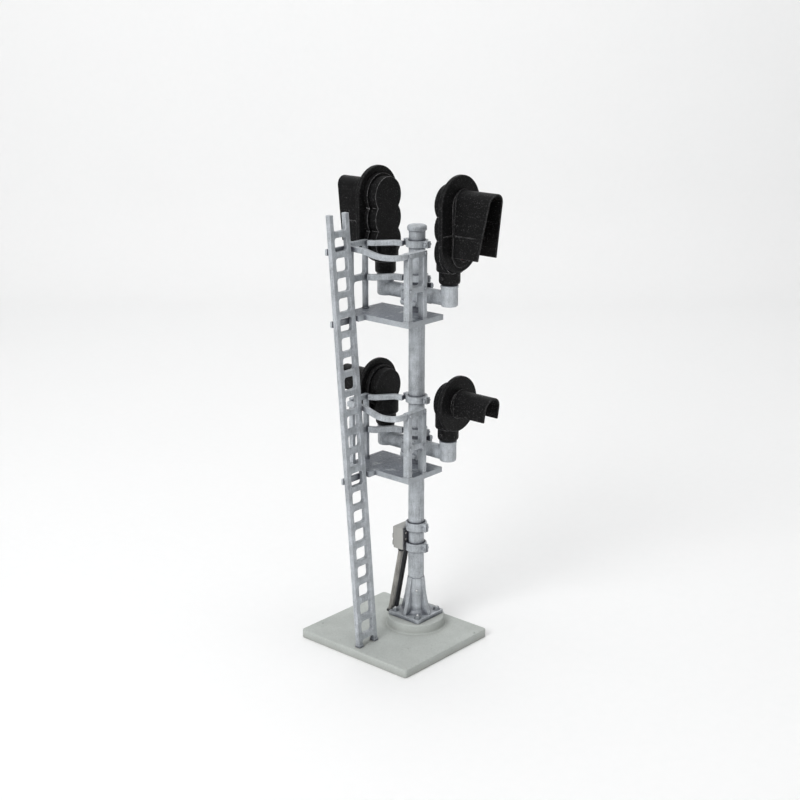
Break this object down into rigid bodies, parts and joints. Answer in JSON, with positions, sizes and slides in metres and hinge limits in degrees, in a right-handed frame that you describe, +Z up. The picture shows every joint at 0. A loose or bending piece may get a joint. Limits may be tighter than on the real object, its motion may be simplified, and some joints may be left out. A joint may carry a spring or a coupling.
{
  "type": "model signal mast",
  "caption": "Model railway colour-light signal mast with hooded heads facing both ways, railed platforms, a leaning ladder, a junction box and a flat base.",
  "frame": {"origin": "on the mast axis, in the plane the base slab stands on", "axes": "+Z up along the mast; +X the way the heads with the larger sun-lit faces look; -Y the side the ladder stands on"},
  "size_m": [0.0354, 0.0232, 0.0875],
  "materials": {
    "base": "fine-grained concrete-coloured matt",
    "grey_paint": "satin grey paint",
    "box_paint": "satin warm grey paint",
    "bright_steel": "bright",
    "dark_pipe": "matt dark grey",
    "black_paint": "satin black",
    "lens_green": "clear gloss",
    "lens_amber": "clear gloss",
    "lens_red": "clear gloss"
  },
  "bodies": {
    "mast": {"anchor_nut_1": "bright_steel", "anchor_nut_2": "bright_steel", "anchor_nut_3": "bright_steel", "anchor_nut_4": "bright_steel", "arm_east_lower": "grey_paint", "arm_east_upper": "grey_paint", "arm_west_lower": "grey_paint", "arm_west_upper": "grey_paint", "back_clamp_lower": "grey_paint", "back_clamp_upper": "grey_paint", "back_rail_lower": "grey_paint", "back_rail_upper": "grey_paint", "base_slab": "base", "box_collar_lower": "grey_paint", "box_collar_upper": "grey_paint", "bracket_front_lower": "grey_paint", "bracket_front_upper": "grey_paint", "bracket_rear_lower": "grey_paint", "bracket_rear_upper": "grey_paint", "conduit_front": "dark_pipe", "conduit_rear": "dark_pipe", "east_panel_lower": "grey_paint", "east_panel_upper": "grey_paint", "floor_lower": "grey_paint", "floor_upper": "grey_paint", "hoop_rail_lower": "grey_paint", "hoop_rail_upper": "grey_paint", "junction_box": "box_paint", "junction_cover": "box_paint", "ladder": "grey_paint", "ladder_tie_lower": "grey_paint", "ladder_tie_rail": "grey_paint", "ladder_tie_upper": "grey_paint", "mast_cap": "grey_paint", "mast_foot": "grey_paint", "mast_tube": "grey_paint", "mid_clamp_lower": "grey_paint", "mid_clamp_upper": "grey_paint", "mid_rail_lower": "grey_paint", "mid_rail_upper": "grey_paint", "west_panel_lower": "grey_paint", "west_panel_upper": "grey_paint"},
    "lower_east_head": {"head_lower_east": "black_paint", "hood_lower_east": "black_paint", "lens_lower_east_1": "lens_red"},
    "lower_west_head": {"head_lower_west": "black_paint", "hood_lower_west": "black_paint", "lens_lower_west_1": "lens_red"},
    "upper_east_head": {"head_upper_east": "black_paint", "hood_upper_east": "black_paint", "lens_upper_east_1": "lens_green", "lens_upper_east_2": "lens_amber", "lens_upper_east_3": "lens_red"},
    "upper_west_head": {"head_upper_west": "black_paint", "hood_upper_west": "black_paint", "lens_upper_west_1": "lens_green", "lens_upper_west_2": "lens_amber", "lens_upper_west_3": "lens_red"}
  },
  "joints": [
    {"name": "lower_east_swivel", "type": "hinge", "parent": "mast", "child": "lower_east_head", "pos_m": [0.0075, 0, 0.03975], "axis": [0, 0, 1], "range_deg": [-20, 35]},
    {"name": "lower_west_swivel", "type": "hinge", "parent": "mast", "child": "lower_west_head", "pos_m": [-0.0075, 0, 0.03975], "axis": [0, 0, -1], "range_deg": [0, 30]},
    {"name": "upper_east_swivel", "type": "hinge", "parent": "mast", "child": "upper_east_head", "pos_m": [0.0075, 0, 0.06825], "axis": [0, 0, 1], "range_deg": [-20, 35]},
    {"name": "upper_west_swivel", "type": "hinge", "parent": "mast", "child": "upper_west_head", "pos_m": [-0.0075, 0, 0.06825], "axis": [0, 0, -1], "range_deg": [0, 30]}
  ]
}
